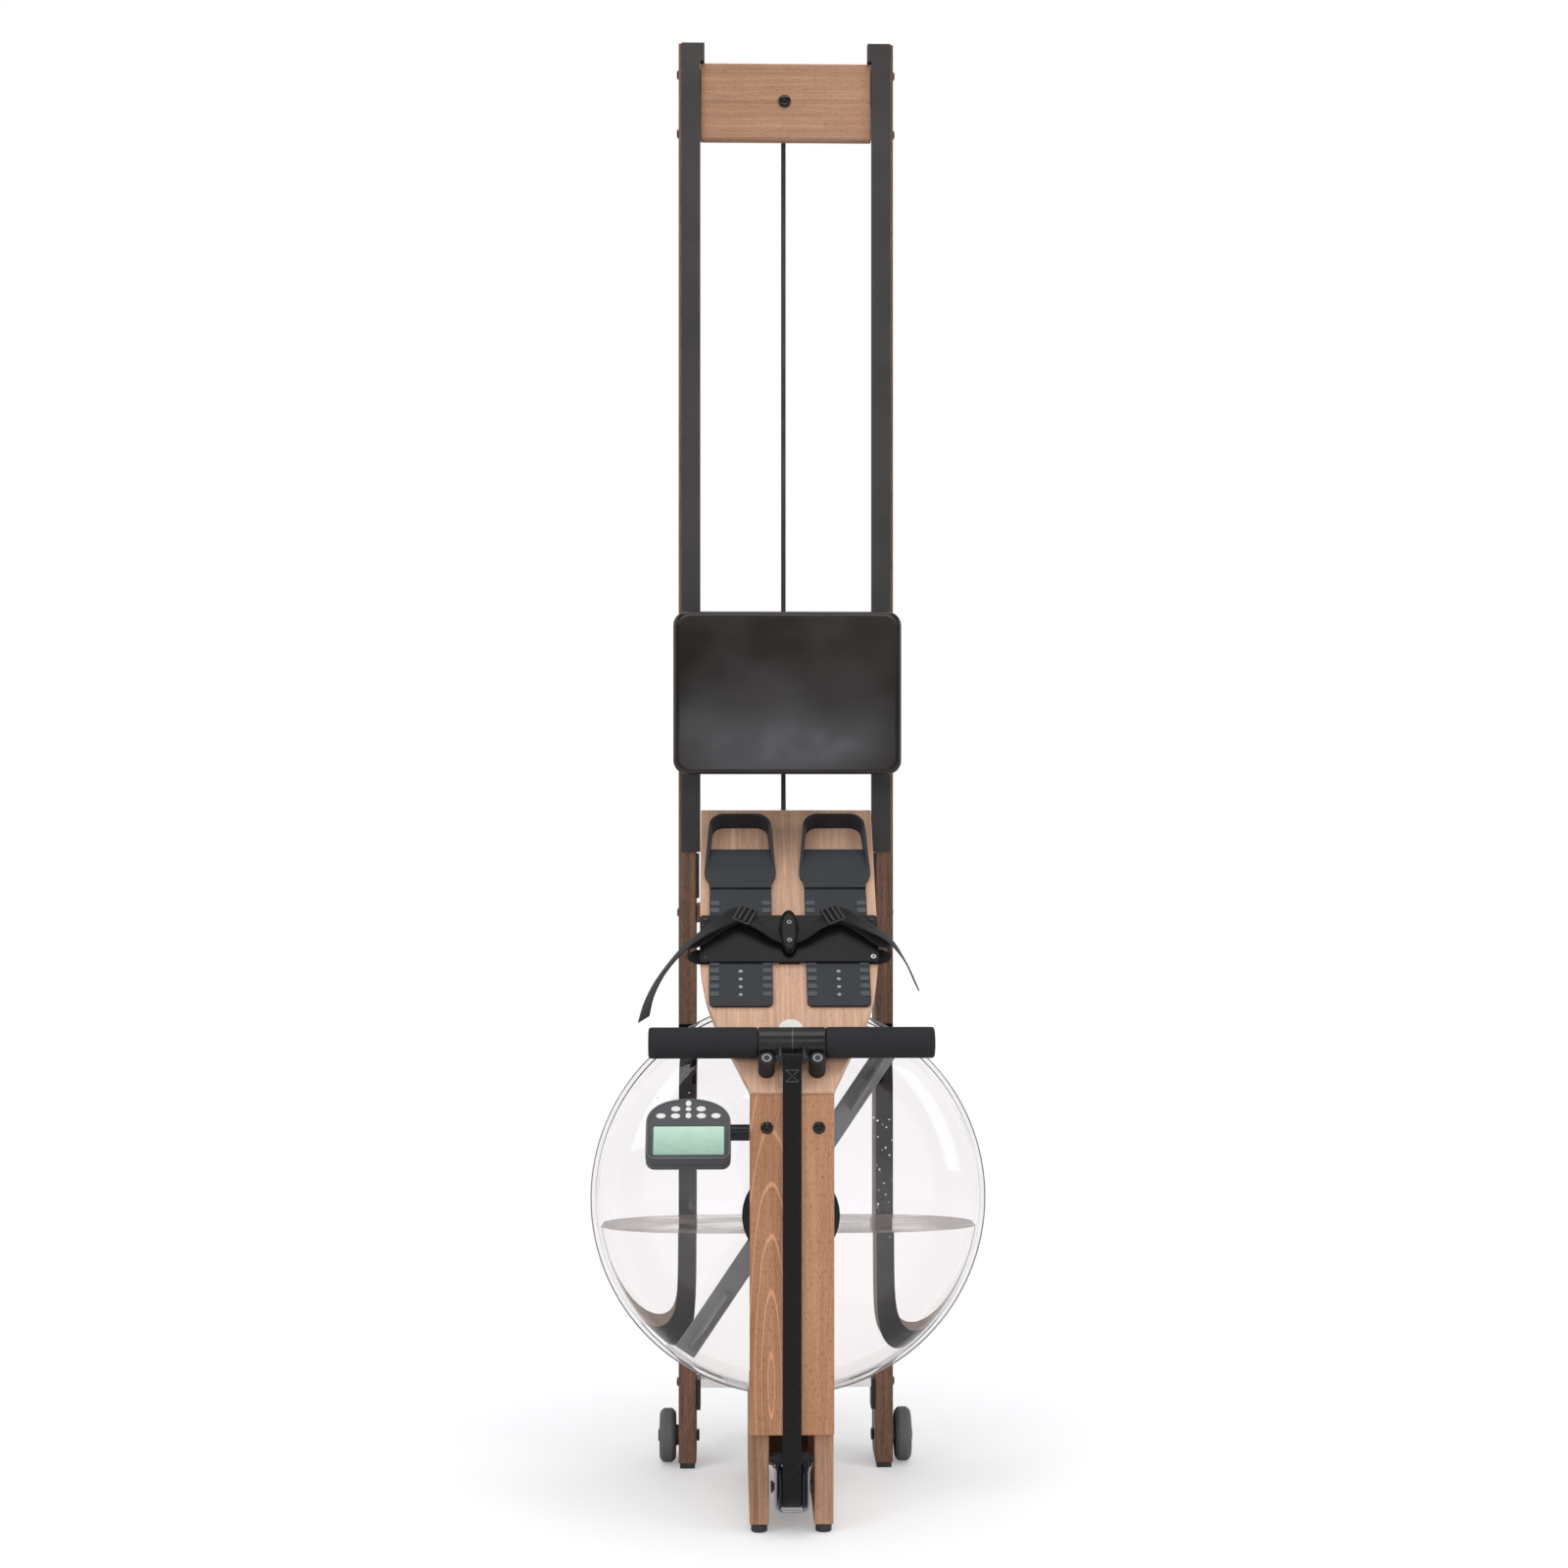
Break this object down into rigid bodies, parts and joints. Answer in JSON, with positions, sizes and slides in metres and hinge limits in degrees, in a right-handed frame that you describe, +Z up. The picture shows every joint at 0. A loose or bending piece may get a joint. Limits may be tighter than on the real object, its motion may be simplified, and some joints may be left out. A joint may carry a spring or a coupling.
{
  "type": "water rowing machine",
  "caption": "Wooden water rowing machine stored upright: sliding seat, clear water tank with a paddle, strap handle, foot plates and a monitor.",
  "frame": {"origin": "under the middle of the whole machine, on the floor that it is stored on", "axes": "+Z up along the rails of the stored machine, -Y towards the side that is on top in use, +X to the right seen from -Y"},
  "size_m": [0.56, 0.678, 2.098],
  "materials": {
    "walnut": "satin oil, fine vertical grain",
    "warm_walnut": "satin oil, arched grain",
    "grey_walnut": "satin oil, straight grain",
    "satin_black": "satin",
    "plate_black": "fine texture",
    "rubber": "matt",
    "wheel_grey": "matt",
    "dark_steel": "satin black coat",
    "bright_steel": "polished",
    "webbing": "woven, matt",
    "foam": "closed foam, matt",
    "seat_skin": "satin moulded skin",
    "clear_tank": "polished, see-through",
    "tank_water": "still water",
    "paddle_grey": "satin",
    "screen_green": "display behind a clear sheet",
    "white_plastic": "satin"
  },
  "bodies": {
    "machine_frame": {"rear_spreader": "walnut", "left_front_post": "walnut", "right_front_post": "walnut", "footboard": "walnut", "top_deck": "warm_walnut", "left_rail": "grey_walnut", "right_rail": "grey_walnut", "left_rear_leg": "grey_walnut", "right_rear_leg": "grey_walnut", "upper_cross_board": "grey_walnut", "spine_board": "grey_walnut", "left_track": "satin_black", "right_track": "satin_black", "strap_clamp": "satin_black", "monitor_arm": "satin_black", "foot_crossbar": "plate_black", "left_handle_peg": "rubber", "right_handle_peg": "rubber", "left_post_foot": "rubber", "right_post_foot": "rubber", "lower_cross_bar": "dark_steel", "pulley_block": "dark_steel", "rear_pulley_bracket": "dark_steel", "left_wheel_axle": "dark_steel", "right_wheel_axle": "dark_steel", "wire_guard": "bright_steel", "left_foot_strap": "webbing", "right_foot_strap": "webbing", "drive_strap": "webbing", "strap_return": "webbing", "recoil_cord": "webbing", "tank_front_shell": "clear_tank", "tank_rear_shell": "clear_tank", "water": "tank_water"},
    "seat": {"seat_pad": "seat_skin", "seat_carriage": "dark_steel"},
    "lower_roller_pair": {"lower_rollers": "white_plastic"},
    "upper_roller_pair": {"upper_rollers": "white_plastic"},
    "handle": {"handle_core": "satin_black", "left_grip": "foam", "right_grip": "foam"},
    "drum": {"strap_drum": "satin_black"},
    "front_pulley": {"front_pulley": "plate_black"},
    "rear_pulley": {"rear_pulley": "plate_black"},
    "paddle": {"paddle": "paddle_grey"},
    "left_wheel": {"left_wheel": "wheel_grey"},
    "right_wheel": {"right_wheel": "wheel_grey"},
    "left_foot_plate": {"left_foot_plate": "plate_black"},
    "right_foot_plate": {"right_foot_plate": "plate_black"},
    "monitor": {"monitor_case": "satin_black", "monitor_screen": "screen_green"},
    "key_upper_left_cap": {"key_upper_left": "white_plastic"},
    "key_upper_right_cap": {"key_upper_right": "white_plastic"},
    "key_outer_left_cap": {"key_outer_left": "white_plastic"},
    "key_inner_left_cap": {"key_inner_left": "white_plastic"},
    "key_inner_right_cap": {"key_inner_right": "white_plastic"},
    "key_outer_right_cap": {"key_outer_right": "white_plastic"},
    "key_up_cap": {"key_up": "white_plastic"},
    "key_enter_cap": {"key_enter": "white_plastic"},
    "key_down_cap": {"key_down": "white_plastic"}
  },
  "joints": [
    {"name": "seat_slide", "type": "slide", "parent": "machine_frame", "child": "seat", "axis": [0, 0, 1], "range_m": [0, 0.715]},
    {"name": "lower_rollers_roll", "type": "hinge", "parent": "seat", "child": "lower_roller_pair", "pos_m": [0, 0.03305, 1.064], "axis": [1, 0, 0], "range_deg": [-2735, 0]},
    {"name": "upper_rollers_roll", "type": "hinge", "parent": "seat", "child": "upper_roller_pair", "pos_m": [0, 0.03305, 1.214], "axis": [1, 0, 0], "range_deg": [-2735, 0]},
    {"name": "handle_pull", "type": "slide", "parent": "machine_frame", "child": "handle", "axis": [0, -0.2588, 0.9659], "range_m": [0, 1.2], "stiffness_N_per_m": 30, "springref_m": -0.6, "deforming": ["drive_strap"]},
    {"name": "drum_turn", "type": "hinge", "parent": "machine_frame", "child": "drum", "pos_m": [0, -0.19235, 0.422], "axis": [0, 1, 0], "range_deg": [0, 2300]},
    {"name": "front_pulley_turn", "type": "hinge", "parent": "machine_frame", "child": "front_pulley", "pos_m": [0, -0.25135, 0.063], "axis": [1, 0, 0], "range_deg": [-2760, 0]},
    {"name": "rear_pulley_turn", "type": "hinge", "parent": "machine_frame", "child": "rear_pulley", "pos_m": [-0.0025, 0.10765, 2.0092], "axis": [1, 0, 0], "range_deg": [0, 1090]},
    {"name": "paddle_spin", "type": "hinge", "parent": "machine_frame", "child": "paddle", "pos_m": [0, -0.07735, 0.422], "axis": [0, 1, 0], "continuous": true, "deforming": ["water"]},
    {"name": "left_wheel_spin", "type": "hinge", "parent": "machine_frame", "child": "left_wheel", "pos_m": [-0.1725, 0.09265, 0.0396], "axis": [1, 0, 0], "continuous": true},
    {"name": "right_wheel_spin", "type": "hinge", "parent": "machine_frame", "child": "right_wheel", "pos_m": [0.1725, 0.09265, 0.0396], "axis": [1, 0, 0], "continuous": true},
    {"name": "left_foot_plate_slide", "type": "slide", "parent": "machine_frame", "child": "left_foot_plate", "axis": [0, 0.6621, 0.7494], "range_m": [-0.03, 0.04]},
    {"name": "right_foot_plate_slide", "type": "slide", "parent": "machine_frame", "child": "right_foot_plate", "axis": [0, 0.6621, 0.7494], "range_m": [-0.03, 0.04]},
    {"name": "monitor_tilt", "type": "hinge", "parent": "machine_frame", "child": "monitor", "pos_m": [-0.138, -0.26435, 0.5413], "axis": [1, 0, 0], "range_deg": [-20, 25]},
    {"name": "key_upper_left_press", "type": "slide", "parent": "monitor", "child": "key_upper_left_cap", "axis": [0, 0.766, -0.6428], "range_m": [0, 0.001], "stiffness_N_per_m": 200},
    {"name": "key_upper_right_press", "type": "slide", "parent": "monitor", "child": "key_upper_right_cap", "axis": [0, 0.766, -0.6428], "range_m": [0, 0.001], "stiffness_N_per_m": 200},
    {"name": "key_outer_left_press", "type": "slide", "parent": "monitor", "child": "key_outer_left_cap", "axis": [0, 0.766, -0.6428], "range_m": [0, 0.001], "stiffness_N_per_m": 200},
    {"name": "key_inner_left_press", "type": "slide", "parent": "monitor", "child": "key_inner_left_cap", "axis": [0, 0.766, -0.6428], "range_m": [0, 0.001], "stiffness_N_per_m": 200},
    {"name": "key_inner_right_press", "type": "slide", "parent": "monitor", "child": "key_inner_right_cap", "axis": [0, 0.766, -0.6428], "range_m": [0, 0.001], "stiffness_N_per_m": 200},
    {"name": "key_outer_right_press", "type": "slide", "parent": "monitor", "child": "key_outer_right_cap", "axis": [0, 0.766, -0.6428], "range_m": [0, 0.001], "stiffness_N_per_m": 200},
    {"name": "key_up_press", "type": "slide", "parent": "monitor", "child": "key_up_cap", "axis": [0, 0.766, -0.6428], "range_m": [0, 0.001], "stiffness_N_per_m": 200},
    {"name": "key_enter_press", "type": "slide", "parent": "monitor", "child": "key_enter_cap", "axis": [0, 0.766, -0.6428], "range_m": [0, 0.001], "stiffness_N_per_m": 200},
    {"name": "key_down_press", "type": "slide", "parent": "monitor", "child": "key_down_cap", "axis": [0, 0.766, -0.6428], "range_m": [0, 0.001], "stiffness_N_per_m": 200}
  ],
  "couplings": [
    {"joint": "lower_rollers_roll", "follows": "seat_slide", "rad_per_m": -66.667},
    {"joint": "upper_rollers_roll", "follows": "seat_slide", "rad_per_m": -66.667},
    {"joint": "drum_turn", "follows": "handle_pull", "rad_per_m": 33.333},
    {"joint": "front_pulley_turn", "follows": "handle_pull", "rad_per_m": -40},
    {"joint": "rear_pulley_turn", "follows": "handle_pull", "rad_per_m": 15.7}
  ]
}
